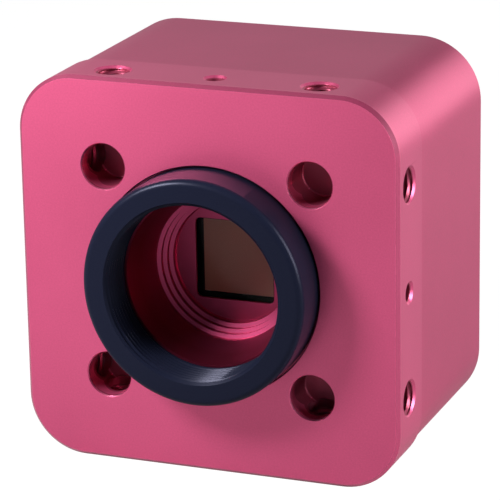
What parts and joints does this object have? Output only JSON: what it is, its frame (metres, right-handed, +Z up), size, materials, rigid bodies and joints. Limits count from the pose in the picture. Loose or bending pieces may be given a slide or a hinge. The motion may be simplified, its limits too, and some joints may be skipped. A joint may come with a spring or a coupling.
{
  "type": "machine vision camera",
  "caption": "Compact cube-shaped machine vision camera with a pink anodised housing, a black threaded lens ring, side mounting threads and rear network and power sockets.",
  "frame": {"origin": "on the optical axis, in the plane of the housing's front face", "axes": "+X to the right and +Z up as seen from in front of the lens, -Y where the lens looks"},
  "size_m": [0.055, 0.0486, 0.055],
  "materials": {
    "pink_anodised": "fine bead-blasted, colour anodised, satin",
    "black_anodised": "turned, black anodised, satin",
    "black_rubber": "matt",
    "grey_pad": "matt",
    "cover_glass": "clear, thin brown tint",
    "ceramic": "dark sintered ceramic",
    "silicon": "mirror-like brown",
    "circuit_board": "green solder mask",
    "chip_black": "moulded, matt",
    "connector_ivory": "moulded, matt",
    "connector_black": "moulded, matt",
    "brass_nickel": "nickel plated",
    "steel": "plain",
    "black_steel": "black oxide",
    "tinned_steel": "bright tin",
    "gold": "gold plated",
    "clear_plastic": "clear",
    "lamp": "moulded lamp"
  },
  "bodies": {
    "housing": {"front_housing": "pink_anodised", "rear_housing": "pink_anodised", "rear_cover": "pink_anodised", "light_trap": "pink_anodised", "housing_seal": "black_rubber", "ring_lock_screws": "black_steel", "rear_cover_screws": "black_steel", "window_gasket": "black_rubber", "sensor_cover_glass": "cover_glass", "sensor_package": "ceramic", "sensor_die": "silicon", "sensor_board": "circuit_board", "processor_board": "circuit_board", "interface_board": "circuit_board", "front_spacers": "brass_nickel", "rear_spacers": "brass_nickel", "cover_standoffs": "brass_nickel", "sensor_link_socket": "connector_ivory", "sensor_link_header": "connector_ivory", "interface_link_socket": "connector_ivory", "interface_link_header": "connector_ivory", "thermal_pads": "grey_pad", "processor_chip": "chip_black", "memory_chips": "chip_black", "network_chip": "chip_black", "network_magnetics": "chip_black", "power_inductor": "chip_black", "power_capacitors": "tinned_steel", "network_jack_shell": "tinned_steel", "network_jack_insert": "connector_black", "network_jack_contacts": "gold", "network_jack_lights": "clear_plastic", "round_connector_shell": "brass_nickel", "round_connector_insert": "connector_black", "round_connector_pins": "gold", "round_connector_nut": "brass_nickel", "status_light_guide": "clear_plastic", "status_lamp": "lamp"},
    "ring": {"c_mount_ring": "black_anodised"}
  },
  "joints": [
    {"name": "ring_turn", "type": "hinge", "parent": "housing", "child": "ring", "pos_m": [0, 0, 0], "axis": [0, -1, 0], "range_deg": [-180, 180]}
  ]
}
